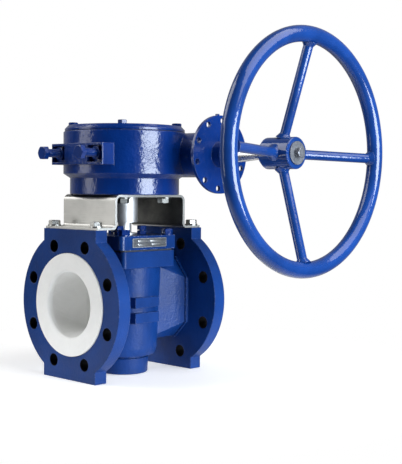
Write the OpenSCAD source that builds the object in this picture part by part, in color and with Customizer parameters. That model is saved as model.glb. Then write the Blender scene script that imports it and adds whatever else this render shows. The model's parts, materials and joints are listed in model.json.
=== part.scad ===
// Lined plug valve with two flanged ends, turned by a worm gearbox and a handwheel.
// Origin: centre of the inlet face. +Y runs along the pipe, +Z up the stem, +X to the handwheel.

/* [Pipe ends] */
// Length between the two gasket faces
face_to_face = 229; // [225:0.5:260]
// Diameter of each end flange
flange_d = 228.6; // [226:0.2:240]
// Thickness of the metal flange
flange_t = 22.3; // [20:0.1:26]
// Diameter of the bolt circle
bolt_circle_d = 190.5; // [188:0.1:193]
// Diameter of each flange bolt hole
bolt_hole_d = 19.05; // [16:0.05:20]
// Number of flange bolt holes
bolt_holes = 8; // [4:4:8]
// Diameter of the raised lined face
raised_face_d = 157.2; // [150:0.1:160]
// How far the lined face stands proud of the metal
face_lift = 1.8; // [1:0.1:3]
// Diameter of the lined bore
bore_d = 100; // [92:0.5:100]
// Width of the flat pads above and below each flange
pad_w = 122.8; // [110:0.2:130]
// Height of those pads above and below the pipe axis
pad_h = 115; // [114.5:0.1:118]

/* [Body] */
// Outside diameter of the plug chamber at its top
chamber_top_d = 115; // [112:0.5:118]
// Outside diameter of the plug chamber at its bottom
chamber_low_d = 105; // [102:0.5:108]
// Height where the top flange of the body ends
body_top = 80.4; // [80:0.1:82]
// Thickness of the fluoropolymer lining
lining_t = 3; // [2:0.1:3]
// Half width of the flow port through the plug
port_half_w = 27; // [22:0.5:28]
// Half height of the flow port through the plug
port_half_h = 42; // [36:0.5:44]

/* [Cover and stem] */
// Thickness of the valve cover
cover_t = 21.7; // [20:0.1:24]
// Diameter of the valve stem
stem_d = 22; // [18:0.5:22]
// Diameter of the stem coupling
coupling_d = 41.2; // [38:0.2:44]

/* [Bracket] */
// Thickness of the bent bracket sheet
sheet_t = 3.7; // [3:0.1:4]
// Half length of the raised part of the bracket
hat_half_l = 74; // [70:0.5:78]
// Height of the gearbox seat above the pipe axis
seat_z = 167.9; // [164:0.1:172]

/* [Gearbox] */
// Radius of the gearbox housing
box_r = 97; // [94:0.5:100]
// Radius of the foot of the gearbox housing
box_foot_r = 86.5; // [82:0.5:90]
// Height of the gearbox joint face above the seat
box_h = 98.1; // [96:0.1:102]
// Thickness of the gearbox cover
lid_t = 8.8; // [7:0.1:12]
// Number of teeth on the full worm wheel circle
wheel_teeth = 40; // [40:40:40]
// Tooth module of the worm and wheel
gear_module = 2.5; // [2.5:0.5:2.5]
// Diameter of the perforated disc on the input side
disc_d = 120.4; // [116:0.2:124]

/* [Handwheel] */
// Diameter of the handwheel, outside the rim
wheel_d = 359.2; // [320:0.2:380]
// Diameter of the rim tube
rim_tube_d = 23.6; // [20:0.2:26]
// Diameter of each spoke
spoke_d = 14.6; // [12:0.2:16]
// Number of spokes
spokes = 4; // [3:1:5]
// Turn of the spokes away from upright
spoke_turn = -1.5; // [-45:0.5:45]

/* [Hidden] */
$fn = 72;

paint = "#1d449e";
wheel_paint = "#2450b4";
steel = "#c3c3bd";
plated = "#b4b4ac";
lining_white = "#eceee8";
bronze = "#b08d57";
black_rubber = "#222222";

slip = 0.05;
far = 400;

flange_back = face_to_face / 2 - face_lift - flange_t;
round_depth = 10;
port_start = 56;
taper_top_r = 45.1;
taper_low_r = 40.1;
taper_h = 62;
plug_top = body_top - 0.3;
plug_land_r = 36;
top_block = [59.6, 55.3];
top_block_z = 54.6;
cover_block = [59, 59.2];
seal_t = 1.5;
backing_t = 1;
seal_sheet = [57.6, 54];
backing_sheet = [57.2, 53.6];
cover_z = body_top + seal_t + backing_t;
cover_top = cover_z + cover_t;
cover_bolt_at = [50, 46];
collar_top = cover_z + 8.4;
packing_z = cover_z + 12.5;
packing_r = 16;
adjuster_bore_r = 4;
cover_bore_r = 5.5;
tap_r = 5;
plate_y = -1;
plate_z = cover_z + 10.9;
plate_t = 0.8;
rivet_y = 32.5;
adjuster_r = 28;
adjuster_turn = 60;
foot_bolt_at = [49.5, face_to_face / 2 - face_lift - flange_t / 2];
seat_bolt_at = 44.2;
stem_r = stem_d / 2;
stem_top = 150;
coupling_r = coupling_d / 2;
coupling_z = 124;
drive_r = 17;

pitch = PI * gear_module;
wheel_pitch_r = wheel_teeth * gear_module / 2;
worm_pitch_r = 16;
worm_y = wheel_pitch_r + worm_pitch_r;
worm_z = seat_z + 62.9;
worm_turns = 5;
worm_tip_r = 18.2;
worm_root_r = 13.2;
worm_half_thread = 1.86;
wheel_tip_r = 52;
wheel_root_r = 47;
wheel_face = 16;
sector_from = 75;
sector_to = 195;
tooth_step = 360 / wheel_teeth;
pressure_angle = 20;
hub_r = 28;
hub_flat_r = 38;
joint_z = seat_z + box_h;
gasket_t = 0.8;
lid_r = 95;
lid_bolt_r = 82;
floor_top = seat_z + 22.1;
stop_x = 43;
stop_face_y = 100.5;
stop_pocket = 10;
bearing_r = 20;
tunnel_r = 35;
tunnel_end = 140.7;
disc_t = 5;
disc_face = tunnel_end + disc_t;
neck_boss_end = disc_face + 16.3;
shaft_r = 12.4;
shaft_end_r = 9;
hub_from = 237.5;
hub_to = 294.4;
wheel_hub_r = 23.3;
rim_x = 314.8;
rim_r = (wheel_d - rim_tube_d) / 2;
spoke_root_x = 267;

// ---- placing and small shapes ----

module at_stem() translate([0, face_to_face / 2, 0]) children();

module at_worm() at_stem() translate([0, worm_y, worm_z]) children();

module both_ends() for (turn = [0, 180]) rotate(turn) children();

module along_x(x) translate([x, 0, 0]) rotate([90, 0, 90]) children();

module towards_inlet(y) translate([0, -y, 0]) rotate([90, 0, 0]) children();

module at_corners(x, y) {
    for (side_x = [-1, 1], side_y = [-1, 1])
        translate([side_x * x, side_y * y, 0]) children();
}

module at_turns(count, r, first = 0) {
    for (i = [0 : count - 1])
        rotate(first + i * 360 / count) translate([r, 0, 0]) children();
}

module rounded_rect(w, h, r) {
    square([w - 2 * r, h], center = true);
    square([w, h - 2 * r], center = true);
    at_corners(w / 2 - r, h / 2 - r) circle(r = r);
}

module ring(outer, inner, h) {
    difference() {
        cylinder(r = outer, h = h);
        translate([0, 0, -1]) cylinder(r = inner, h = h + 2);
    }
}

module hexagon(flats, h) cylinder(d = flats / cos(30), h = h, $fn = 6);

module hex_head(flats, h) {
    crown_r = flats * 0.475;
    intersection() {
        hexagon(flats, h);
        cylinder(h = h, r1 = crown_r + h * 1.73, r2 = crown_r);
    }
}

module hex_bolt(flats, head_h, shank_r, shank_l) {
    hex_head(flats, head_h);
    translate([0, 0, -shank_l]) cylinder(r = shank_r, h = shank_l + 0.5);
}

module hex_nut(flats, h, hole_r) {
    difference() {
        hex_head(flats, h);
        translate([0, 0, -1]) cylinder(r = hole_r, h = h + 2);
    }
}

// ---- valve body and lining ----

module end_flange() {
    towards_inlet(flange_back) difference() {
        linear_extrude(flange_t) {
            circle(d = flange_d);
            square([pad_w, 2 * pad_h], center = true);
        }
        at_turns(bolt_holes, bolt_circle_d / 2, 180 / bolt_holes)
            translate([0, 0, -1]) cylinder(d = bolt_hole_d, h = flange_t + 2);
    }
}

module neck_slice(y, flat_x, flat_top, flat_low, top, low, roof_w) {
    towards_inlet(y) linear_extrude(0.2) polygon([
        [flat_x, -flat_low], [flat_x, flat_top], [roof_w, top], [-roof_w, top],
        [-flat_x, flat_top], [-flat_x, -flat_low], [-roof_w, -low], [roof_w, -low]
    ]);
}

module port_neck() {
    hull() {
        neck_slice(20, 35.5, 61, 60, 74, 64, 28);
        neck_slice(flange_back, 52, 32, 37, 64, 63, 26);
    }
}

module chamber_outside() {
    boss_r = 39;
    boss_low = -114.6;
    groove_r = 36.2;
    rotate_extrude() polygon([
        [0, boss_low], [boss_r - 2, boss_low], [boss_r - 1, boss_low + 1],
        [boss_r, -90.2], [groove_r, -89.2], [groove_r, -86], [48.5, -85], [51, -80],
        [chamber_low_d / 2, -74], [chamber_top_d / 2, top_block_z], [0, top_block_z]
    ]);
}

module chamber_space(grow) {
    rotate_extrude() polygon([
        [0, -taper_h - grow], [taper_low_r + grow, -taper_h - grow],
        [taper_low_r + grow, -taper_h], [taper_top_r + grow, taper_h],
        [taper_top_r + grow, body_top], [0, body_top]
    ]);
}

module flow_space(grow) {
    slot = [2 * (port_half_w + grow), 2 * (port_half_h + grow)];
    mouth = face_to_face / 2;
    towards_inlet(mouth - round_depth)
        cylinder(d = bore_d + 2 * grow, h = round_depth);
    hull() {
        towards_inlet(mouth - round_depth)
            cylinder(d = bore_d + 2 * grow, h = 0.2, $fn = 32);
        towards_inlet(port_start) linear_extrude(0.2)
            rounded_rect(slot[0], slot[1], 8, $fn = 24);
    }
    towards_inlet(-1) linear_extrude(port_start + 1.1) rounded_rect(slot[0], slot[1], 8);
}

module side_lugs() {
    lug = [58.5, 50, 16];
    lug_from_y = -29;
    for (low = [-31.5, -7.5])
        translate([0, lug_from_y, low]) cube(lug);
}

module valve_body() color(paint) at_stem() difference() {
    cover_tap_z = 58;
    foot_tap_z = 98;
    union() {
        both_ends() end_flange();
        both_ends() port_neck();
        both_ends() side_lugs();
        chamber_outside();
        translate([0, 0, top_block_z]) linear_extrude(body_top - top_block_z)
            rounded_rect(2 * top_block[0], 2 * top_block[1], 6);
    }
    both_ends() flow_space(lining_t);
    both_ends() towards_inlet(face_to_face / 2 - face_lift - 1.5)
        cylinder(d = raised_face_d + 1, h = 10);
    chamber_space(lining_t);
    at_corners(cover_bolt_at[0], cover_bolt_at[1])
        translate([0, 0, cover_tap_z]) cylinder(r = tap_r, h = 40);
    at_corners(foot_bolt_at[0], foot_bolt_at[1])
        translate([0, 0, foot_tap_z]) cylinder(r = tap_r, h = 40);
}

module lined_face() {
    towards_inlet(face_to_face / 2 - face_lift - 1.5)
        cylinder(d = raised_face_d, h = face_lift + 1.5);
}

module bore_mouth() {
    lip = 4;
    towards_inlet(face_to_face / 2 - lip) rotate_extrude() difference() {
        translate([bore_d / 2 - 1, 0]) square([lip + 1, lip + 1]);
        translate([bore_d / 2 + lip, 0]) circle(r = lip);
    }
}

module body_lining() color(lining_white) at_stem() difference() {
    union() {
        both_ends() flow_space(lining_t);
        both_ends() lined_face();
        chamber_space(lining_t);
    }
    both_ends() flow_space(0);
    both_ends() bore_mouth();
    chamber_space(0);
}

// ---- valve cover and gland ----

module sheet_seal(z, t, side) {
    translate([0, 0, z]) difference() {
        linear_extrude(t) rounded_rect(2 * side[0], 2 * side[1], 8);
        translate([0, 0, -1]) cylinder(r = stem_r + 0.08, h = t + 2);
        at_corners(cover_bolt_at[0], cover_bolt_at[1])
            translate([0, 0, -1]) cylinder(r = cover_bore_r, h = t + 2);
    }
}

module sealing_diaphragm() color(lining_white) at_stem()
    sheet_seal(body_top, seal_t, seal_sheet);

module metal_diaphragm() color(steel) at_stem()
    sheet_seal(body_top + seal_t, backing_t, backing_sheet);

module valve_cover() color(paint) at_stem() difference() {
    translate([0, 0, cover_z]) linear_extrude(cover_t)
        rounded_rect(2 * cover_block[0], 2 * cover_block[1], 7);
    translate([0, 0, cover_z - 1]) cylinder(r = 34, h = 12);
    translate([0, 0, cover_z]) cylinder(r = 12, h = far);
    translate([0, 0, packing_z]) cylinder(r = packing_r, h = far);
    at_turns(3, adjuster_r, adjuster_turn)
        translate([0, 0, cover_z]) cylinder(r = adjuster_bore_r, h = far);
    at_corners(cover_bolt_at[0], cover_bolt_at[1])
        translate([0, 0, cover_z - 1]) cylinder(r = cover_bore_r, h = far);
}

module cover_bolts() color(paint) at_stem()
    at_corners(cover_bolt_at[0], cover_bolt_at[1]) translate([0, 0, cover_top]) {
        cylinder(r = 8.6, h = 1.8);
        translate([0, 0, 1.8]) hex_bolt(16, 8, 4.95, 46);
    }

module thrust_collar() color(plated) at_stem()
    translate([0, 0, collar_top - 8]) ring(33, 12.2, 8);

module stem_packing() color(lining_white) at_stem()
    translate([0, 0, packing_z]) ring(packing_r - slip, stem_r + 0.08, 5.5);

module gland_ring() color(steel) at_stem() {
    translate([0, 0, packing_z + 5.6]) ring(packing_r - slip, stem_r + 0.3, 6);
    translate([0, 0, cover_top]) ring(18, stem_r + 0.3, 2.6);
}

module gland_adjusters() color(paint) at_stem() at_turns(3, adjuster_r, adjuster_turn)
    translate([0, 0, cover_top + 7]) hex_bolt(13, 7, 3.95, cover_top + 7 - collar_top);

module adjuster_lock_nuts() color(paint) at_stem() at_turns(3, adjuster_r, adjuster_turn)
    translate([0, 0, cover_top]) hex_nut(13, 6, 4);

module nameplate() color(plated) at_stem()
    translate([0, plate_y, plate_z]) along_x(cover_block[0])
        linear_extrude(plate_t) rounded_rect(72, 14.5, 1.5);

module nameplate_rivets() color(steel) at_stem()
    for (side = [-1, 1])
        translate([0, plate_y + side * rivet_y, plate_z]) along_x(cover_block[0] + plate_t)
            cylinder(r1 = 1.8, r2 = 1.1, h = 0.9);

// ---- bracket and its fasteners ----

module hat_outline(half_l, top, r) {
    translate([-half_l, pad_h]) square([2 * half_l, top - pad_h - r]);
    translate([r - half_l, pad_h]) square([2 * (half_l - r), top - pad_h]);
    for (side = [-1, 1]) translate([side * (half_l - r), top - r]) circle(r = r);
}

module foot_profile() {
    bend = 4;
    toe = 35;
    difference() {
        union() {
            translate([hat_half_l - sheet_t, pad_h]) square([toe + sheet_t, sheet_t]);
            translate([hat_half_l - sheet_t, pad_h])
                square([sheet_t + bend, sheet_t + bend]);
        }
        translate([hat_half_l + bend, pad_h + sheet_t + bend]) circle(r = bend);
        difference() {
            translate([hat_half_l - sheet_t - 1, pad_h - 1])
                square([sheet_t + bend + 1, sheet_t + bend + 1]);
            translate([hat_half_l + bend, pad_h + sheet_t + bend])
                circle(r = bend + sheet_t);
        }
    }
}

module mounting_bracket() color(steel) at_stem() difference() {
    along_x(-pad_w / 2) linear_extrude(pad_w) {
        difference() {
            hat_outline(hat_half_l, seat_z, 10);
            hat_outline(hat_half_l - sheet_t, seat_z - sheet_t, 10 - sheet_t);
            for (side = [-1, 1]) translate([side * hat_half_l, pad_h])
                square([20, 2 * (sheet_t + 4)], center = true);
        }
        foot_profile();
        mirror([1, 0]) foot_profile();
    }
    translate([0, 0, seat_z - 10]) cylinder(r = 31, h = 20);
    at_corners(seat_bolt_at, seat_bolt_at)
        translate([0, 0, seat_z - 10]) cylinder(r = 6.6, h = 20);
    at_corners(foot_bolt_at[0], foot_bolt_at[1])
        translate([0, 0, pad_h - 1]) cylinder(r = 5.5, h = 10);
}

module bracket_foot_washers() color(steel) at_stem()
    at_corners(foot_bolt_at[0], foot_bolt_at[1])
        translate([0, 0, pad_h + sheet_t]) ring(10.2, 5.2, 2);

module bracket_foot_bolts() color(plated) at_stem()
    at_corners(foot_bolt_at[0], foot_bolt_at[1])
        translate([0, 0, pad_h + sheet_t + 2]) hex_bolt(16, 6.8, 4.95, 21);

module gearbox_mount_washers() color(steel) at_stem()
    at_corners(seat_bolt_at, seat_bolt_at)
        translate([0, 0, seat_z - sheet_t - 2.2]) ring(12, 6.2, 2.2);

module gearbox_mount_bolts() color(plated) at_stem()
    at_corners(seat_bolt_at, seat_bolt_at)
        translate([0, 0, seat_z - sheet_t - 2.2]) mirror([0, 0, 1])
            hex_bolt(18, 7.5, 5.95, 24);

// ---- gearbox ----

module box_outside() {
    rotate_extrude() polygon([
        [0, seat_z], [box_foot_r - 1, seat_z], [box_foot_r, seat_z + 1],
        [box_foot_r, seat_z + 25.3], [box_r, seat_z + 32.1], [box_r, joint_z - 1],
        [box_r - 1, joint_z], [0, joint_z]
    ]);
    translate([0, worm_y, worm_z]) along_x(-90) cylinder(r = tunnel_r, h = 90 + tunnel_end);
    translate([0, 30 - stop_face_y, worm_z - 17.4]) linear_extrude(32.2)
        rounded_rect(120, 60, 3);
}

module box_space() {
    translate([0, 0, floor_top]) cylinder(r = box_r - 19, h = 30);
    difference() {
        translate([0, 0, seat_z + 36]) cylinder(r = box_r - 9, h = box_h);
        at_turns(4, lid_bolt_r, 45)
            translate([0, 0, joint_z - 20]) cylinder(r = 10, h = 30);
        for (side = [-1, 1]) translate([side * 88, worm_y, worm_z])
            rotate([0, 90, 0]) cylinder(r = 27, h = 100, center = true);
    }
}

module gearbox_housing() color(paint) at_stem() difference() {
    box_outside();
    box_space();
    translate([0, worm_y, worm_z]) along_x(-100) cylinder(r = bearing_r, h = far);
    translate([0, 0, seat_z - 1]) cylinder(r = 32, h = 40);
    at_corners(seat_bolt_at, seat_bolt_at)
        translate([0, 0, seat_z - 1]) cylinder(r = 6, h = 21);
    at_turns(4, lid_bolt_r, 45) translate([0, 0, joint_z - 15]) cylinder(r = 4, h = 30);
    for (side = [-1, 1]) translate([side * stop_x, 0, worm_z]) {
        translate([0, -stop_face_y, -1.3]) cube([32, 2 * stop_pocket, 25], center = true);
        rotate([90, 0, 0]) cylinder(r = 6, h = 140);
    }
}

module gearbox_gasket() color(black_rubber) at_stem() difference() {
    translate([0, 0, joint_z]) ring(lid_r - 1, box_r - 20, gasket_t);
    at_turns(4, lid_bolt_r, 45) translate([0, 0, joint_z - 1]) cylinder(r = 4.2, h = 5);
}

module gearbox_cover() color(paint) at_stem() difference() {
    translate([0, 0, joint_z + gasket_t]) {
        rotate_extrude() polygon([
            [0, 0], [lid_r, 0], [lid_r, 3.5], [lid_r - 5, lid_t], [0, lid_t]
        ]);
        translate([0, 0, -16]) cylinder(r = 40, h = 17);
    }
    translate([0, 0, joint_z - 20]) cylinder(r = 32, h = 20);
    at_turns(4, lid_bolt_r, 45) translate([0, 0, joint_z]) cylinder(r = 4.4, h = 30);
}

module gearbox_cover_bolts() color(paint) at_stem() at_turns(4, lid_bolt_r, 45)
    translate([0, 0, joint_z + gasket_t + lid_t]) hex_bolt(13, 5.6, 3.95, 22);

module lower_wheel_bush() color(bronze) at_stem()
    translate([0, 0, seat_z + 1.2]) ring(32, hub_r + slip, 20);

module upper_wheel_bush() color(bronze) at_stem()
    translate([0, 0, joint_z - 15]) ring(32, hub_r + slip, 12);

module at_stops(y) {
    for (side = [-1, 1])
        at_stem() translate([side * stop_x, -y, worm_z]) rotate([90, 0, 0]) children();
}

module stop_screws() color(paint) at_stops(stop_face_y + 23.3)
    difference() {
        hex_bolt(19, 8, 5.95, 110);
        translate([0, 0, -111]) ring(9, 4, 2.5);
    }

module stop_lock_nuts() color(paint)
    at_stops(stop_face_y - stop_pocket) hex_nut(19, 8, 6);

module inner_shaft_bush() color(bronze) at_worm()
    along_x(-62) ring(bearing_r, 7.5 + slip, 22);

module outer_shaft_bush() color(bronze) at_worm()
    along_x(62) ring(bearing_r, shaft_r + slip, 26);

module worm_end_plug() color(paint) at_worm() {
    along_x(-90) cylinder(r = bearing_r, h = 16);
    along_x(-90) mirror([0, 0, 1]) hex_head(46, 5);
}

module input_flange_disc() color(paint) at_worm() difference() {
    union() {
        along_x(tunnel_end) cylinder(d = disc_d, h = disc_t);
        along_x(disc_face) cylinder(r = 20.3, h = neck_boss_end - disc_face);
        translate([tunnel_end, -7, disc_d / 2 - 4]) cube([disc_t, 4, 6]);
    }
    along_x(100) cylinder(r = shaft_r + 0.5, h = far);
    along_x(neck_boss_end - 8) cylinder(r = 17, h = far);
    along_x(tunnel_end - 1) rotate(-94.8)
        at_turns(10, 52.2) cylinder(r = 4.5, h = disc_t + 2);
}

module shaft_seal() color(black_rubber) at_worm()
    along_x(neck_boss_end - 8) ring(17, shaft_r + slip, 7);

// ---- plug, stem and coupling ----

module plug_cone(shrink) {
    rotate_extrude() polygon([
        [0, -taper_h + 1 + shrink], [taper_low_r - 0.1 - shrink, -taper_h + 1 + shrink],
        [taper_top_r - 0.1 - shrink, taper_h - shrink], [plug_land_r, taper_h - shrink],
        [plug_land_r, plug_top], [0, plug_top]
    ]);
}

module plug_port(grow) {
    rotate([90, 0, 0]) translate([0, 0, -60]) linear_extrude(120)
        rounded_rect(2 * (port_half_w + grow), 2 * (port_half_h + grow), 8);
}

module plug_metal() {
    difference() {
        plug_cone(2.5);
        plug_port(2.5);
    }
}

module plug_and_stem() color(steel) at_stem() difference() {
    union() {
        plug_metal();
        translate([0, 0, plug_top - 1]) cylinder(r = stem_r, h = stem_top - plug_top + 1);
    }
    translate([-4, stem_r - 3.5, coupling_z]) cube([8, 10, 30]);
}

module plug_lining() color(lining_white) at_stem() difference() {
    plug_cone(0);
    plug_port(0);
    plug_metal();
    translate([0, 0, taper_h + 0.01]) cylinder(r = 60, h = 30);
}

module stem_key() color(plated) at_stem()
    translate([-4, stem_r - 3.5, coupling_z + 1]) cube([8, 6.5, 24]);

module stem_coupling() color(steel) at_stem() difference() {
    union() {
        translate([0, 0, coupling_z]) cylinder(r = coupling_r, h = seat_z + 3 - coupling_z);
        translate([0, 0, seat_z]) cylinder(r = drive_r, h = box_h - 14);
    }
    translate([0, 0, coupling_z - 1]) cylinder(r = stem_r + slip, h = stem_top + 2 - coupling_z);
    translate([-4, stem_r - 4, coupling_z - 1]) cube([8, 7, 27]);
    translate([-5, drive_r - 4, worm_z - 30]) cube([10, 10, 60]);
}

module coupling_key() color(plated) at_stem()
    translate([-5, drive_r - 4, worm_z - 30]) cube([10, 7, 54]);

// ---- worm gear ----

module worm_wheel_hub() color(plated) at_stem() difference() {
    union() {
        translate([0, 0, seat_z + 4.1]) cylinder(r = hub_r, h = box_h - 9);
        translate([0, 0, worm_z - wheel_face / 2]) rotate(15)
            cylinder(r = hub_flat_r, h = wheel_face, $fn = 12);
        translate([0, 0, worm_z - wheel_face / 2 - 5]) cylinder(r = 45, h = 5);
    }
    translate([0, 0, seat_z]) cylinder(r = drive_r + slip, h = box_h);
    translate([-5, 0, seat_z]) cube([10, drive_r + 3.1, box_h]);
    at_segment_screws() translate([0, 0, worm_z - 20]) cylinder(r = 2.5, h = 20);
}

// One tooth as four points, half widths taken at the root, the pitch line and the tip.
function tooth_points(centre) = [
    for (spot = [
        [wheel_root_r, -2.6], [wheel_tip_r, -0.9], [wheel_tip_r, 0.9], [wheel_root_r, 2.6]
    ]) let (turn = centre + spot[1] / spot[0] * 180 / PI) spot[0] * [cos(turn), sin(turn)]
];

module sector_outline() {
    teeth = [for (turn = [sector_from + 6 : tooth_step : sector_to]) tooth_points(turn)];
    rim = [for (tooth = teeth, point = tooth) point];
    inner = [for (turn = [sector_to : -30 : sector_from]) hub_flat_r * [cos(turn), sin(turn)]];
    start = wheel_root_r * [cos(sector_from), sin(sector_from)];
    end = wheel_root_r * [cos(sector_to), sin(sector_to)];
    polygon(concat([start], rim, [end], inner));
}

module worm_wheel_segment() color(bronze) at_stem() difference() {
    translate([0, 0, worm_z - wheel_face / 2])
        linear_extrude(wheel_face) sector_outline();
    at_segment_screws() translate([0, 0, worm_z - 20]) cylinder(r = 2.6, h = 40, $fn = 12);
}

module at_segment_screws() {
    for (turn = [102, 135, 168]) rotate(turn) translate([42.4, 0, 0]) children();
}

module segment_screws() color(plated) at_stem()
    at_segment_screws() translate([0, 0, worm_z + wheel_face / 2]) {
        cylinder(r = 4.2, h = 4);
        translate([0, 0, -20]) cylinder(r = 2.45, h = 20.5);
    }

// Radius of the thread at a turn away from the middle of its crest.
function thread_r(turn) = let (
    offset = abs(turn) / 360 * pitch,
    flank_r = worm_pitch_r + (worm_half_thread - offset) / tan(pressure_angle)
) max(worm_root_r, min(worm_tip_r, flank_r));

module worm() color(steel) at_worm() difference() {
    along_x(-worm_turns * pitch / 2)
        linear_extrude(worm_turns * pitch, twist = -360 * worm_turns, slices = 16 * worm_turns,
            $fn = 24) rotate(180) polygon([
                for (turn = [-180 : 15 : 165]) thread_r(turn) * [cos(turn), sin(turn)]
            ]);
    along_x(-50) cylinder(r = shaft_end_r + slip, h = 100, $fn = 6);
}

module worm_spacer() color(plated) at_worm() along_x(-39.6)
    ring(12, 7.5 + slip, 39.6 - worm_turns * pitch / 2);

module input_shaft() color(steel) at_worm() difference() {
    union() {
        along_x(-61) cylinder(r = 7.5, h = 42);
        along_x(-worm_turns * pitch / 2)
            cylinder(r = shaft_end_r, h = worm_turns * pitch + 1, $fn = 6);
        along_x(worm_turns * pitch / 2) cylinder(r = shaft_r, h = 184 - worm_turns * pitch / 2);
        along_x(184) cylinder(r1 = shaft_r, r2 = shaft_end_r, h = 38);
        along_x(222) cylinder(r = shaft_end_r, h = 70);
    }
    translate([244, -2.5, shaft_end_r - 3]) cube([far, 5, 10]);
    along_x(262) cylinder(r = 4, h = 40);
}

// ---- handwheel ----

module handwheel_hub() color(wheel_paint) at_worm() difference() {
    rotate([0, 90, 0]) rotate_extrude() polygon([
        [0, hub_from], [wheel_hub_r - 4, hub_from], [wheel_hub_r, hub_from + 5],
        [wheel_hub_r, hub_to - 1.2], [wheel_hub_r - 1.2, hub_to], [0, hub_to]
    ]);
    along_x(hub_from - 1) cylinder(r = shaft_end_r + slip, h = 80);
    translate([hub_from - 1, -2.5, 0]) cube([80, 5, shaft_end_r + 2.4]);
}

module rim_solid() {
    rotate([0, 90, 0]) rotate_extrude() translate([rim_r, rim_x]) circle(d = rim_tube_d);
}

module spoke() {
    root_r = 12;
    run = rim_r - root_r;
    rise = rim_x - spoke_root_x;
    lean = atan(rise / run);
    length = norm([run, rise]);
    weld = 5;
    translate([spoke_root_x, 0, root_r]) rotate([0, lean, 0]) {
        cylinder(d = spoke_d, h = length);
        translate([0, 0, 10]) cylinder(d1 = spoke_d + 2 * weld, d2 = spoke_d, h = weld + 2);
        translate([0, 0, length - rim_tube_d / 2 - weld])
            cylinder(d1 = spoke_d, d2 = spoke_d + 2 * weld, h = weld + 2);
    }
}

module handwheel_spokes() color(wheel_paint) at_worm() difference() {
    for (i = [0 : spokes - 1]) rotate([spoke_turn + i * 360 / spokes, 0, 0]) spoke();
    along_x(hub_from - 1) cylinder(r = wheel_hub_r, h = hub_to - hub_from + 2);
    rim_solid();
}

module handwheel_rim() color(wheel_paint) at_worm() rim_solid();

module handwheel_key() color(plated) at_worm()
    translate([246, -2.5, shaft_end_r - 3]) cube([44, 5, 5.3]);

module hub_washer() color(steel) at_worm() along_x(hub_to) ring(17, 4.4, 2.2);

module hub_spring_washer() color(plated) at_worm() along_x(hub_to + 2.2) difference() {
    ring(7.6, 4.3, 2);
    rotate(35) translate([0, -0.8, -1]) cube([10, 1.6, 4]);
}

module hub_bolt() color(steel) at_worm() along_x(hub_to + 4.2)
    hex_bolt(13, 5.4, 3.95, 30);

valve_body();
body_lining();
valve_cover();
cover_bolts();
sealing_diaphragm();
metal_diaphragm();
thrust_collar();
stem_packing();
gland_ring();
gland_adjusters();
adjuster_lock_nuts();
nameplate();
nameplate_rivets();
mounting_bracket();
bracket_foot_bolts();
bracket_foot_washers();
gearbox_mount_bolts();
gearbox_mount_washers();
gearbox_housing();
gearbox_gasket();
gearbox_cover();
gearbox_cover_bolts();
lower_wheel_bush();
upper_wheel_bush();
stop_screws();
stop_lock_nuts();
inner_shaft_bush();
outer_shaft_bush();
worm_end_plug();
input_flange_disc();
shaft_seal();
plug_and_stem();
plug_lining();
stem_key();
stem_coupling();
coupling_key();
worm_wheel_hub();
worm_wheel_segment();
segment_screws();
input_shaft();
worm();
worm_spacer();
handwheel_hub();
handwheel_spokes();
handwheel_rim();
handwheel_key();
hub_washer();
hub_spring_washer();
hub_bolt();
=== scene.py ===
import json
import math

import bmesh
import bpy
from mathutils import Matrix, Vector


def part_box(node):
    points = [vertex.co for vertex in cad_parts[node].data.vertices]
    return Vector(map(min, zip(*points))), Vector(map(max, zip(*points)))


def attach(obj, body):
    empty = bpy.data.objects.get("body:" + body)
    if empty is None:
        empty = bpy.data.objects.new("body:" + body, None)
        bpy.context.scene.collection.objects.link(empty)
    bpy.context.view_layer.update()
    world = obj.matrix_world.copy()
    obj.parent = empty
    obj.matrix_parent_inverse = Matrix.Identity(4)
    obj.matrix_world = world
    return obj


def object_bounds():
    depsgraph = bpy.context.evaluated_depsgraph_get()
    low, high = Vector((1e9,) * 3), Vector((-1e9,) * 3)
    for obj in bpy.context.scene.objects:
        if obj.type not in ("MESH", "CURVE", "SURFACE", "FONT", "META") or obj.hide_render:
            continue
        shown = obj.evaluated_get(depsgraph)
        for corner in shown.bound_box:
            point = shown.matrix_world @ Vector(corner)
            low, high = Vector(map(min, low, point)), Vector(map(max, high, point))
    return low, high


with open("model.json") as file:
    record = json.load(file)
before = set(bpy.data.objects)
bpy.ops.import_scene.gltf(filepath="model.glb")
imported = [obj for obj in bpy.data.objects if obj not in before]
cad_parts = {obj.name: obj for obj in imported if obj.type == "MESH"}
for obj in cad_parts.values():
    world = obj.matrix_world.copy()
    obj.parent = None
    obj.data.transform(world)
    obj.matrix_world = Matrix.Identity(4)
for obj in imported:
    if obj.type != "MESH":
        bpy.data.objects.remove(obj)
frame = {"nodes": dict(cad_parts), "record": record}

bpy.context.view_layer.update()
cad_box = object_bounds()
nodes = frame["nodes"]

BLUE = (0.0009, 0.026, 0.175)
BODY_BLUE = (0.0040, 0.035, 0.175)
WHEEL_BLUE = (0.0065, 0.042, 0.205)

# Metres: the stem axis, half the bracket's hat along the pipe, the flange bolt holes, and how far
# from the stem the flanges' zone and back faces are
STEM_Y = 0.1145
HAT_HALF = 0.074
HOLES = 8
HOLE_CIRCLE_R = 0.09525
HOLE_R = 0.009525
HOLE_MARGIN = 0.0001
FLANGES_FROM = 0.080
FLANGE_BACK = 0.0904


# ---------------------------------------------------------------- shader helpers

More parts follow.
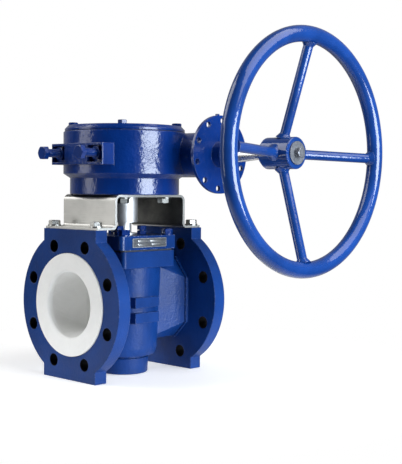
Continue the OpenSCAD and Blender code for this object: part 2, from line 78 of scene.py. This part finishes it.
class Shader:
    """One material's node tree, with a Principled BSDF and object coordinates."""

    def __init__(self, name):
        self.material = bpy.data.materials.new(name)
        self.material.use_nodes = True
        self.tree = self.material.node_tree
        self.tree.nodes.clear()
        output = self.tree.nodes.new("ShaderNodeOutputMaterial")
        self.bsdf = self.tree.nodes.new("ShaderNodeBsdfPrincipled")
        self.tree.links.new(self.bsdf.outputs[0], output.inputs[0])
        self.coords = self.tree.nodes.new("ShaderNodeTexCoord").outputs["Object"]

    def add(self, kind, inputs=None, **settings):
        node = self.tree.nodes.new(kind)
        for key, value in settings.items():
            setattr(node, key, value)
        for key, value in (inputs or {}).items():
            self.set(node.inputs[key], value)
        return node

    def set(self, socket, value):
        if isinstance(value, bpy.types.NodeSocket):
            self.tree.links.new(value, socket)
        else:
            socket.default_value = value

    def scaled(self, stretch):
        return self.add("ShaderNodeMapping", {"Vector": self.coords, "Scale": stretch}).outputs[0]

    def noise(self, scale, detail=3.0, rough=0.55, stretch=None, distortion=0.0):
        vector = self.scaled(stretch) if stretch else self.coords
        return self.add("ShaderNodeTexNoise", {
            "Vector": vector, "Scale": scale, "Detail": detail,
            "Roughness": rough, "Distortion": distortion,
        }).outputs["Fac"]

    def ramp(self, value, low, high, out_low=0.0, out_high=1.0):
        return self.add("ShaderNodeMapRange", {
            "Value": value, "From Min": low, "From Max": high,
            "To Min": out_low, "To Max": out_high,
        }, clamp=True).outputs[0]

    def maths(self, operation, a, b=0.0):
        node = self.add("ShaderNodeMath", operation=operation)
        self.set(node.inputs[0], a)
        self.set(node.inputs[1], b)
        return node.outputs[0]

    def parts(self):
        """The three object coordinates as separate sockets."""
        return self.add("ShaderNodeSeparateXYZ", {"Vector": self.coords}).outputs

    def about_pipe(self):
        """Distance from the pipe axis and the angle around it."""
        x, _, z = self.parts()
        square = self.maths("ADD", self.maths("MULTIPLY", x, x), self.maths("MULTIPLY", z, z))
        return self.maths("SQRT", square), self.maths("ARCTAN2", z, x)

    def blend(self, factor, a, b):
        node = self.add("ShaderNodeMix", data_type="RGBA")
        self.set(node.inputs[0], factor)
        self.set(node.inputs[6], a)
        self.set(node.inputs[7], b)
        return node.outputs[2]

    def rounded(self, radius):
        """Normal with the sharp edges rounded to a radius in metres."""
        return self.add("ShaderNodeBevel", {"Radius": radius}, samples=4).outputs[0]

    def edge_mask(self, rounded_normal, low, high):
        """1 on the rounded edges and 0 on plain faces."""
        true_normal = self.add("ShaderNodeNewGeometry").outputs["Normal"]
        dot = self.add("ShaderNodeVectorMath", operation="DOT_PRODUCT")
        self.set(dot.inputs[0], rounded_normal)
        self.set(dot.inputs[1], true_normal)
        return self.ramp(dot.outputs["Value"], high, low, 1.0, 0.0)

    def bump(self, height, distance, normal=None, strength=1.0):
        inputs = {"Height": height, "Distance": distance, "Strength": strength}
        if normal is not None:
            inputs["Normal"] = normal
        return self.add("ShaderNodeBump", inputs).outputs[0]

    def finish(self, **sockets):
        for key, value in sockets.items():
            self.set(self.bsdf.inputs[key.replace("_", " ")], value)
        return self.material


def rgba(colour, gain=1.0):
    return tuple(c * gain for c in colour) + (1.0,)


# ---------------------------------------------------------------- materials

def flange_hole_mask(s):
    """1 on the walls of the eight bolt holes of each end flange."""
    radius, angle = s.about_pipe()
    step = 2 * math.pi / HOLES
    turn = s.maths("SUBTRACT", s.maths("FLOORED_MODULO", angle, step), step / 2)
    along = s.maths("SUBTRACT", s.maths("MULTIPLY", radius, s.maths("COSINE", turn)), HOLE_CIRCLE_R)
    across = s.maths("MULTIPLY", radius, s.maths("SINE", turn))
    square = s.maths("ADD", s.maths("MULTIPLY", along, along), s.maths("MULTIPLY", across, across))
    near = s.maths("LESS_THAN", s.maths("SQRT", square), HOLE_R + HOLE_MARGIN)
    from_stem = s.maths("ABSOLUTE", s.maths("SUBTRACT", s.parts()[1], STEM_Y))
    return s.maths("MULTIPLY", near, s.maths("GREATER_THAN", from_stem, FLANGES_FROM))


def enamel(name, colour, grain, peel, edge, roughness=0.36, coat=0.8, gloss=0.07, grain_size=950,
           chips_and_glints=0.55, bare=0.14, holes=False):
    """Enamel over metal: tint drift, orange peel, grain of the casting, edge flecks that are partly
    worn paint and partly painted highlight glints, and with holes set, painted shade on the flange
    bolt hole walls.
    """
    s = Shader(name)
    normal = s.rounded(edge)
    mask = s.edge_mask(normal, 0.995, 0.90)
    drift = s.ramp(s.noise(14, 3, 0.6), 0.35, 0.68)
    speckle = s.ramp(s.noise(420, 2, 0.7), 0.62, 0.80)
    tint = s.blend(drift, rgba(colour, 0.80), rgba(colour, 1.15))
    tint = s.blend(s.maths("MULTIPLY", speckle, 0.25), tint, rgba(colour, 0.45))
    # Lighter flecks on the rounded edges: partly worn paint, partly painted highlight glints; bare
    # sets how pale they go.
    chip_and_glint = s.maths("MULTIPLY", mask, s.ramp(s.noise(260, 3, 0.7), 0.50, 0.66))
    lighter = tuple(min(1.0, bare + 1.25 * c) for c in colour)
    tint = s.blend(s.maths("MULTIPLY", chip_and_glint, chips_and_glints), tint, rgba(lighter))
    rough = s.ramp(s.noise(55, 4, 0.65), 0.30, 0.72, roughness - 0.06, roughness + 0.10)
    # Painted shade: with holes set, the flange bolt hole walls are painted near black and lose their
    # coat.
    if holes:
        dark = flange_hole_mask(s)
        tint = s.blend(dark, tint, rgba((0.004, 0.004, 0.005)))
        s.set(s.bsdf.inputs["Coat Weight"], s.ramp(dark, 0.0, 1.0, coat, 0.0))
    else:
        s.bsdf.inputs["Coat Weight"].default_value = coat
    fine = s.bump(s.noise(grain_size, 2, 0.6), grain, normal)
    normal = s.bump(s.noise(170, 3, 0.5), peel, fine)
    s.finish(Base_Color=tint, Roughness=rough, Normal=normal)
    s.bsdf.inputs["Specular IOR Level"].default_value = 0.08
    s.bsdf.inputs["Coat Roughness"].default_value = gloss
    s.bsdf.inputs["Coat IOR"].default_value = 1.5
    coat_base = s.bump(s.noise(grain_size, 2, 0.6), grain * 0.5, s.rounded(edge))
    s.set(s.bsdf.inputs["Coat Normal"], s.bump(s.noise(150, 2, 0.5), peel * 0.8, coat_base))
    return s.material


def turned_metal(name, colour, stretch, roughness=0.24, lines=0.00004, edge=0.0005):
    """Machined metal with fine tool lines across one direction."""
    s = Shader(name)
    normal = s.rounded(edge)
    drift = s.ramp(s.noise(60, 3, 0.6), 0.35, 0.70)
    tint = s.blend(drift, rgba(colour, 0.86), rgba(colour, 1.05))
    tool = s.noise(120, 2, 0.7, stretch)
    rough = s.ramp(tool, 0.3, 0.7, roughness - 0.07, roughness + 0.09)
    normal = s.bump(tool, lines, normal)
    return s.finish(Base_Color=tint, Metallic=1.0, Roughness=rough, Normal=normal)


def sheet_steel(name):
    """Rolled stainless sheet: satin outside with rolling marks and smudges; the hat's inner faces are
    painted near black as shade, with a dark mottle, and made rougher.
    """
    s = Shader(name)
    colour = (0.50, 0.495, 0.47)
    sheet, side_skin = 0.0018, 0.0006
    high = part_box("mounting_bracket")[1]
    x, y, z = s.parts()
    # Mask of the hat's inner faces, which are painted near black as shade.
    from_stem = s.maths("ABSOLUTE", s.maths("SUBTRACT", y, STEM_Y))
    inside_painted_shade = s.maths("LESS_THAN", from_stem, HAT_HALF - sheet)
    inside_painted_shade = s.maths("MULTIPLY", inside_painted_shade, s.maths("LESS_THAN", z, high.z - sheet))
    from_middle = s.maths("ABSOLUTE", x)
    inside_painted_shade = s.maths("MULTIPLY", inside_painted_shade, s.maths("LESS_THAN", from_middle, high.x - side_skin))
    rolling = s.noise(60, 4, 0.65, (0.35, 0.35, 9.0))
    smudge = s.ramp(s.noise(26, 4, 0.6, distortion=0.6), 0.42, 0.70)
    tint = s.blend(smudge, rgba(colour), rgba(colour, 0.80))
    tint = s.blend(s.ramp(rolling, 0.35, 0.75), tint, rgba(colour, 1.05))
    # Painted shade: a dark mottle for the inner faces.
    scale = s.ramp(s.noise(45, 4, 0.7), 0.3, 0.75)
    tint = s.blend(inside_painted_shade, tint, s.blend(scale, rgba((0.06, 0.06, 0.06)), rgba((0.11, 0.11, 0.10))))
    rough = s.ramp(rolling, 0.25, 0.75, 0.38, 0.46)
    rough = s.maths("ADD", rough, s.maths("MULTIPLY", inside_painted_shade, 0.15))
    normal = s.bump(rolling, 0.00001, s.rounded(0.0007))
    return s.finish(Base_Color=tint, Metallic=1.0, Roughness=rough, Normal=normal)


def plated(name, colour):
    """Zinc plate on fasteners: fine mottle and dull patches."""
    s = Shader(name)
    mottle = s.noise(480, 4, 0.7)
    tint = s.blend(s.ramp(mottle, 0.35, 0.68), rgba(colour, 0.78), rgba(colour, 1.08))
    rough = s.ramp(s.noise(140, 3, 0.6), 0.3, 0.7, 0.26, 0.46)
    normal = s.bump(mottle, 0.00004, s.rounded(0.0006))
    return s.finish(Base_Color=tint, Metallic=1.0, Roughness=rough, Normal=normal)


def moulded_white(name, colour=(0.88, 0.885, 0.87)):
    """Moulded fluoropolymer: waxy, with faint flow clouds, small dark specks and handling marks."""
    s = Shader(name)
    cloud = s.ramp(s.noise(38, 4, 0.6, distortion=0.8), 0.40, 0.78)
    tint = s.blend(s.maths("MULTIPLY", cloud, 0.5), rgba(colour), rgba(colour, 0.88))
    speck = s.ramp(s.noise(700, 2, 0.6), 0.76, 0.82)
    tint = s.blend(s.maths("MULTIPLY", speck, 0.4), tint, rgba((0.45, 0.45, 0.42)))
    rough = s.ramp(s.noise(90, 3, 0.6), 0.3, 0.7, 0.42, 0.58)
    radius, _ = s.about_pipe()
    rings = s.maths("SINE", s.maths("MULTIPLY", radius, 2 * math.pi / 0.0016))
    turned = s.bump(rings, 0.00002, s.rounded(0.0012))
    normal = s.bump(s.noise(220, 3, 0.6), 0.00008, turned)
    s.finish(Base_Color=tint, Roughness=rough, Normal=normal)
    s.bsdf.inputs["Subsurface Weight"].default_value = 0.12
    s.bsdf.inputs["Subsurface Radius"].default_value = (0.004, 0.004, 0.0035)
    s.bsdf.inputs["Subsurface Scale"].default_value = 1.0
    return s.material


def bronze_metal(name):
    s = Shader(name)
    colour = (0.60, 0.40, 0.19)
    tint = s.blend(s.ramp(s.noise(90, 4, 0.65), 0.35, 0.7), rgba(colour, 0.72), rgba(colour, 1.1))
    rough = s.ramp(s.noise(300, 3, 0.6), 0.3, 0.7, 0.26, 0.44)
    normal = s.bump(s.noise(600, 3, 0.6), 0.00004, s.rounded(0.0004))
    return s.finish(Base_Color=tint, Metallic=1.0, Roughness=rough, Normal=normal)


def rubber(name):
    s = Shader(name)
    tint = s.blend(s.noise(120, 3, 0.6), rgba((0.012, 0.012, 0.013)), rgba((0.035, 0.035, 0.034)))
    normal = s.bump(s.noise(900, 3, 0.6), 0.00006, s.rounded(0.0005))
    rough = s.ramp(s.noise(200, 2, 0.6), 0.3, 0.7, 0.55, 0.75)
    return s.finish(Base_Color=tint, Roughness=rough, Normal=normal)


def plate_finish(name, colour):
    """Satin name plate, lightly brushed along its length."""
    s = Shader(name)
    brush = s.noise(90, 3, 0.7, (1.0, 0.15, 14.0))
    tint = s.blend(s.ramp(brush, 0.3, 0.7), rgba(colour, 0.75), rgba(colour, 1.1))
    rough = s.ramp(brush, 0.3, 0.7, 0.28, 0.42)
    return s.finish(Base_Color=tint, Metallic=1.0, Roughness=rough,
                    Normal=s.bump(brush, 0.00003, s.rounded(0.0003)))


# The body's flange bolt hole walls get painted shade (holes=True).
body_paint = enamel("body_enamel", BODY_BLUE, 0.00058, 0.00030, 0.0024, 0.48, coat=0.24,
                    gloss=0.26, grain_size=280, chips_and_glints=0.45, bare=0.20, holes=True)
# On the cover the edge flecks go near white: painted highlight glints.
cover_paint = enamel("cover_enamel", BODY_BLUE, 0.00055, 0.00030, 0.0018, 0.42, coat=0.55,
                     gloss=0.16, grain_size=280, chips_and_glints=0.95, bare=0.50)
box_paint = enamel("gearbox_enamel", BLUE, 0.00016, 0.00075, 0.0016, coat=0.9, gloss=0.14,
                   grain_size=420)
wheel_paint = enamel("wheel_enamel", WHEEL_BLUE, 0.00014, 0.00028, 0.0008, coat=0.9, gloss=0.05,
                     grain_size=360)
small_paint = enamel("fastener_enamel", BLUE, 0.00004, 0.00008, 0.0006, coat=0.7, gloss=0.10)
stem_steel = turned_metal("turned_steel_upright", (0.74, 0.74, 0.74), (0.4, 0.4, 30.0), 0.50)
shaft_steel = turned_metal("turned_steel_across", (0.60, 0.60, 0.60), (30.0, 0.4, 0.4))
satin_steel = turned_metal("satin_steel", (0.25, 0.26, 0.285), (4.0, 4.0, 4.0), 0.42, 0.00002)
sheet_metal = sheet_steel("stainless_sheet")
plated_metal = plated("plated_fasteners", (0.50, 0.50, 0.48))
# Painted shade: a darker copy of the plated finish for the gearbox mount bolts and washers under the
# bracket.
plated_painted_shade = plated("plated_fasteners_painted_shade", (0.20, 0.20, 0.19))
white = moulded_white("moulded_lining")
# Painted shade: the two diaphragms are made near black to stand for the shade in the gap between cover
# and body block.
seal_painted_shade = moulded_white("seal_painted_shade", (0.05, 0.055, 0.07))
bronze = bronze_metal("bronze_bearing")
black = rubber("black_rubber")
plate = plate_finish("brushed_plate", (0.26, 0.27, 0.29))
plate_edge = plate_finish("polished_plate", (0.62, 0.63, 0.64))

CAST = {"valve_body"}
BOX = {"gearbox_housing", "gearbox_cover", "input_flange_disc", "worm_end_plug"}
WHEEL = {"handwheel_hub", "handwheel_spokes", "handwheel_rim"}
UPRIGHT = {"plug_and_stem", "stem_coupling", "gland_ring", "thrust_collar", "stem_key",
           "coupling_key", "worm_wheel_hub", "segment_screws"}
# Gearbox mount fasteners, given the darker plated copy as painted shade.
FASTENERS_IN_PAINTED_SHADE = {"gearbox_mount_bolts", "gearbox_mount_washers"}
# Diaphragms painted dark as shade in the gap under the cover.
SEALS = {"sealing_diaphragm", "metal_diaphragm"}
SATIN = {"hub_washer", "hub_spring_washer", "hub_bolt"}
SLOT_MATERIAL = {
    "blue_paint": small_paint, "wheel_paint": wheel_paint, "stainless_sheet": sheet_metal,
    "turned_steel": shaft_steel, "plated_fastener": plated_metal, "plate_metal": plate,
    "white_lining": white, "bronze": bronze, "black_rubber": black,
}
slot_of = {p["node"]: p["material_slot"] for p in frame["record"]["subparts"]}


def material_for(name):
    if name in CAST:
        return body_paint
    if name == "valve_cover":
        return cover_paint
    if name in SEALS:
        return seal_painted_shade
    if name in BOX:
        return box_paint
    if name in UPRIGHT:
        return stem_steel
    if name in FASTENERS_IN_PAINTED_SHADE:
        return plated_painted_shade
    if name in SATIN:
        return satin_steel
    return SLOT_MATERIAL[slot_of[name]]


for name, item in nodes.items():
    item.data.materials.clear()
    item.data.materials.append(material_for(name))


# ---------------------------------------------------------------- fine shapes

def place(name, verts, faces, material, body):
    """A new mesh piece that rides on a body."""
    mesh = bpy.data.meshes.new(name)
    mesh.from_pydata([tuple(v) for v in verts], [], faces)
    bm = bmesh.new()
    bm.from_mesh(mesh)
    bmesh.ops.recalc_face_normals(bm, faces=bm.faces)
    bm.to_mesh(mesh)
    bm.free()
    mesh.shade_smooth()
    mesh.set_sharp_from_angle(angle=math.radians(32))
    mesh.materials.append(material)
    piece = bpy.data.objects.new(name, mesh)
    bpy.context.scene.collection.objects.link(piece)
    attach(piece, body)
    return piece


def join_loops(loops, closed, start=0):
    """Faces between loops of equal length; closed joins the last loop to the first, else caps."""
    count = len(loops[0])
    faces = []
    pairs = len(loops) if closed else len(loops) - 1
    for i in range(pairs):
        a, b = start + i * count, start + ((i + 1) % len(loops)) * count
        for k in range(count):
            n = (k + 1) % count
            faces.append((a + k, a + n, b + n, b + k))
    if not closed:
        faces.append(tuple(start + k for k in range(count))[::-1])
        faces.append(tuple(start + (len(loops) - 1) * count + k for k in range(count)))
    return faces


def gather(groups, closed):
    """Vertices and faces of several solids, each given as its loops."""
    verts, faces = [], []
    for loops in groups:
        faces += join_loops(loops, closed, len(verts))
        verts += [v for loop in loops for v in loop]
    return verts, faces


def circle_loop(centre, axis, radius, steps=32):
    """Points of a circle about an axis through its centre."""
    side = axis.orthogonal().normalized()
    other = axis.cross(side)
    turns = [2 * math.pi * k / steps for k in range(steps)]
    return [centre + radius * (math.cos(t) * side + math.sin(t) * other) for t in turns]


def stop_threads():
    """Rolled threads on the bare length of the two travel stop screws."""
    low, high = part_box("stop_screws")
    nut_low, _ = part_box("stop_lock_nuts")
    shank, root, crest, pitch = 0.0058, 0.00597, 0.0064, 0.00175
    head_h, screw_inset = 0.008, 0.01097
    under_head = low.y + head_h
    groups = []
    for x in (low.x + screw_inset, high.x - screw_inset):
        centre = Vector((x, 0.0, (low.z + high.z) / 2))
        profile = [(under_head, shank)]
        y = under_head + pitch / 2
        while y < nut_low.y:
            profile += [(y - pitch * 0.3, root), (y - pitch * 0.06, crest), (y + pitch * 0.06, crest)]
            y += pitch
        profile.append((y - pitch * 0.3, shank))
        groups.append([circle_loop(centre + Vector((0, at, 0)), Vector((0, 1, 0)), r)
                       for at, r in profile])
    verts, faces = gather(groups, False)
    place("stop_screw_threads", verts, faces, small_paint, "valve")


def moved_out(outline, distance):
    """A convex outline with every side moved outwards."""
    moved = []
    count = len(outline)
    for i in range(count):
        before, here, after = outline[i - 1], outline[i], outline[(i + 1) % count]
        e1, e2 = (here - before).normalized(), (after - here).normalized()
        n1, n2 = Vector((e1.y, -e1.x)), Vector((e2.y, -e2.x))
        half = (n1 + n2).normalized()
        moved.append(here + half * (distance / max(0.3, half.dot(n1))))
    return moved


def neck_outline(part):
    """Section of the port neck, from the chamber (0) to the flange (1), as x and z.

    Each end gives, in mm: half width, height of the upper and lower flats, top, bottom and half
    width of the roof. They repeat the neck sections of the body's own source.
    """
    chamber = (35.5, 61, 60, 74, 64, 28)
    flange = (52, 32, 37, 64, 63, 26)
    fx, ft, fl, top, low, roof = ((a + (b - a) * part) / 1000 for a, b in zip(chamber, flange))
    points = [(fx, -fl), (fx, ft), (roof, top), (-roof, top), (-fx, ft), (-fx, -fl),
              (-roof, -low), (roof, -low)]
    return [Vector(p) for p in points][::-1]


def neck_fillets():
    """Cast fillets where each port neck runs into the back of its flange."""
    neck_from, radius, steps = 0.020, 0.0045, 8
    sunk_in_flange, sunk_in_neck = 0.001, 0.003
    low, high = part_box("valve_body")
    middle = (low.y + high.y) / 2
    groups = []
    for side in (-1, 1):
        loops = []
        for k in range(steps + 1):
            away = radius * k / steps
            out = radius - math.sqrt(max(0.0, radius ** 2 - (radius - away) ** 2))
            part = (FLANGE_BACK - away - neck_from) / (FLANGE_BACK - neck_from)
            ring = moved_out(neck_outline(part), out)
            loops.append([Vector((p.x, middle + side * (FLANGE_BACK - away), p.y)) for p in ring])
        for away in (radius, -sunk_in_flange):
            part = (FLANGE_BACK - away - neck_from) / (FLANGE_BACK - neck_from)
            ring = moved_out(neck_outline(part), -sunk_in_neck)
            loops.append([Vector((p.x, middle + side * (FLANGE_BACK - away), p.y)) for p in ring])
        groups.append(loops)
    verts, faces = gather(groups, True)
    place("neck_fillets", verts, faces, body_paint, "valve")


def rounded_outline(width, height, radius, steps=5):
    """Rounded rectangle about its middle, as y and z."""
    points = []
    for cy, cz, begin in ((1, 1, 0), (-1, 1, 90), (-1, -1, 180), (1, -1, 270)):
        for k in range(steps + 1):
            t = math.radians(begin + 90 * k / steps)
            points.append(Vector((cy * (width / 2 - radius) + radius * math.cos(t),
                                  cz * (height / 2 - radius) + radius * math.sin(t))))
    return points


def on_plate(outline, x, y, z):
    return [Vector((x, y + p.x, z + p.y)) for p in outline]


def plate_details():
    """Raised border and blank pressed fields of the name plate."""
    low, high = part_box("nameplate")
    face, y, z = high.x, (low.y + high.y) / 2, (low.z + high.z) / 2
    width, height = high.y - low.y, high.z - low.z
    sizes = [(width - 0.0004, height - 0.0004, 0.0014), (width - 0.0024, height - 0.0024, 0.0008)]
    border = []
    for (w, h, r), x in zip((sizes[0], sizes[0], sizes[1], sizes[1]),
                            (face - 0.0002, face + 0.0003, face + 0.0003, face - 0.0002)):
        border.append(on_plate(rounded_outline(w, h, r), x, y, z))
    verts, faces = gather([border], True)
    place("nameplate_border", verts, faces, plate_edge, "valve")
    fields = [(-0.0145, 0.0026, 0.0200, 0.0032), (0.0130, 0.0026, 0.0230, 0.0032),
              (-0.0125, -0.0030, 0.0240, 0.0032), (0.0150, -0.0030, 0.0190, 0.0032)]
    groups = []
    for fy, fz, w, h in fields:
        groups.append([
            on_plate(rounded_outline(w, h, 0.0005), face - 0.0001, y + fy, z + fz),
            on_plate(rounded_outline(w, h, 0.0005), face + 0.0001, y + fy, z + fz),
            on_plate(rounded_outline(w - 0.0004, h - 0.0004, 0.0004), face + 0.0002, y + fy, z + fz),
        ])
    verts, faces = gather(groups, False)
    place("nameplate_fields", verts, faces, plate_edge, "valve")


stop_threads()
neck_fillets()
plate_details()


# ---------------------------------------------------------------- camera

CAMERA_AT = Vector((1.2119, -0.9785, 0.1793))
LENS_MM = 79.19
SENSOR_MM = 36.0
AZIMUTH, ELEVATION, ROLL = (math.radians(a) for a in (43.663, 2.471, 0.5))


def add_camera():
    forward = Vector((-math.sin(AZIMUTH) * math.cos(ELEVATION),
                      math.cos(AZIMUTH) * math.cos(ELEVATION), -math.sin(ELEVATION)))
    right = Vector((math.cos(AZIMUTH), math.sin(AZIMUTH), 0.0))
    up = right.cross(forward)
    across = right * math.cos(ROLL) + up * math.sin(ROLL)
    upward = up * math.cos(ROLL) - right * math.sin(ROLL)
    turn = Matrix((across, upward, -forward)).transposed().to_4x4()
    data = bpy.data.cameras.new("camera")
    data.lens = LENS_MM
    data.sensor_width = SENSOR_MM
    camera = bpy.data.objects.new("camera", data)
    camera.matrix_world = Matrix.Translation(CAMERA_AT) @ turn
    bpy.context.scene.collection.objects.link(camera)
    bpy.context.scene.camera = camera


add_camera()


# ---------------------------------------------------------------- studio

FLOOR_R = 3.0
FLOOR_GLOW = 0.42
FADE_FROM, FADE_TO = 0.24, 0.55
BACKDROP = (43.7, -6.0)

def direction(azimuth, elevation):
    a, e = math.radians(azimuth), math.radians(elevation)
    return Vector((math.sin(a) * math.cos(e), -math.cos(a) * math.cos(e), math.sin(e)))


def add_softbox(name, azimuth, elevation, distance, width, height, power, target,
                colour=(1.0, 1.0, 1.0)):
    light = bpy.data.lights.new(name, "AREA")
    light.shape = "RECTANGLE"
    light.size, light.size_y = width, height
    light.energy = power
    light.color = colour
    lamp = bpy.data.objects.new(name, light)
    back = direction(azimuth, elevation)
    lamp.location = target + back * distance
    lamp.rotation_mode = "QUATERNION"
    lamp.rotation_quaternion = (-back).to_track_quat("-Z", "Y")
    bpy.context.scene.collection.objects.link(lamp)


def add_world():
    """White to the camera; all other rays see a dark room with a paler backdrop behind the object."""
    world = bpy.data.worlds.new("studio")
    bpy.context.scene.world = world
    world.use_nodes = True
    tree = world.node_tree
    tree.nodes.clear()
    coords = tree.nodes.new("ShaderNodeTexCoord")
    dot = tree.nodes.new("ShaderNodeVectorMath")
    dot.operation = "DOT_PRODUCT"
    tree.links.new(coords.outputs["Generated"], dot.inputs[0])
    dot.inputs[1].default_value = tuple(-direction(*BACKDROP))
    ramp = tree.nodes.new("ShaderNodeMapRange")
    ramp.clamp = True
    tree.links.new(dot.outputs["Value"], ramp.inputs["Value"])
    for key, value in {"From Min": 0.25, "From Max": 0.80, "To Min": 0.025, "To Max": 0.36}.items():
        ramp.inputs[key].default_value = value
    room = tree.nodes.new("ShaderNodeBackground")
    tree.links.new(ramp.outputs[0], room.inputs["Strength"])
    seen = tree.nodes.new("ShaderNodeBackground")
    seen.inputs["Color"].default_value = (1.0, 1.0, 1.0, 1.0)
    seen.inputs["Strength"].default_value = 1.0
    path = tree.nodes.new("ShaderNodeLightPath")
    mix = tree.nodes.new("ShaderNodeMixShader")
    tree.links.new(path.outputs["Is Camera Ray"], mix.inputs[0])
    tree.links.new(room.outputs[0], mix.inputs[1])
    tree.links.new(seen.outputs[0], mix.inputs[2])
    output = tree.nodes.new("ShaderNodeOutputWorld")
    tree.links.new(mix.outputs[0], output.inputs[0])


def add_floor():
    """Pale round floor under the feet that fades out towards the backdrop."""
    mesh = bpy.data.meshes.new("floor")
    bm = bmesh.new()
    bmesh.ops.create_circle(bm, cap_ends=True, segments=96, radius=FLOOR_R)
    bm.to_mesh(mesh)
    bm.free()
    floor = bpy.data.objects.new("floor", mesh)
    bpy.context.scene.collection.objects.link(floor)
    floor.location = (0.0, STEM_Y, cad_box[0].z - 0.0002)
    s = Shader("pale_floor")
    mottle = s.noise(3, 3, 0.5)
    tint = s.blend(mottle, rgba((0.80, 0.80, 0.80)), rgba((0.83, 0.83, 0.83)))
    s.finish(Base_Color=tint, Roughness=0.6)
    s.bsdf.inputs["Emission Color"].default_value = (1.0, 1.0, 1.0, 1.0)
    s.bsdf.inputs["Emission Strength"].default_value = FLOOR_GLOW
    distance = s.add("ShaderNodeVectorMath", operation="LENGTH")
    s.set(distance.inputs[0], s.coords)
    fade = s.ramp(distance.outputs["Value"], FADE_FROM, FADE_TO, 1.0, 0.0)
    s.set(s.bsdf.inputs["Alpha"], fade)
    mesh.materials.append(s.material)


MIDDLE = Vector((0.08, 0.10, 0.10))
add_world()
add_floor()
add_softbox("side_box", 97, 2, 1.7, 1.05, 0.80, 50.0, MIDDLE, (0.82, 0.91, 1.0))
add_softbox("side_strip", -32, 4, 1.9, 0.80, 1.30, 10.0, MIDDLE)
add_softbox("high_right", 108, 50, 1.9, 1.80, 1.80, 34.0, MIDDLE)
add_softbox("high_left", -48, 40, 1.8, 1.20, 1.20, 18.0, MIDDLE)

scene = bpy.context.scene
scene.view_settings.view_transform = "Standard"
scene.view_settings.look = "None"
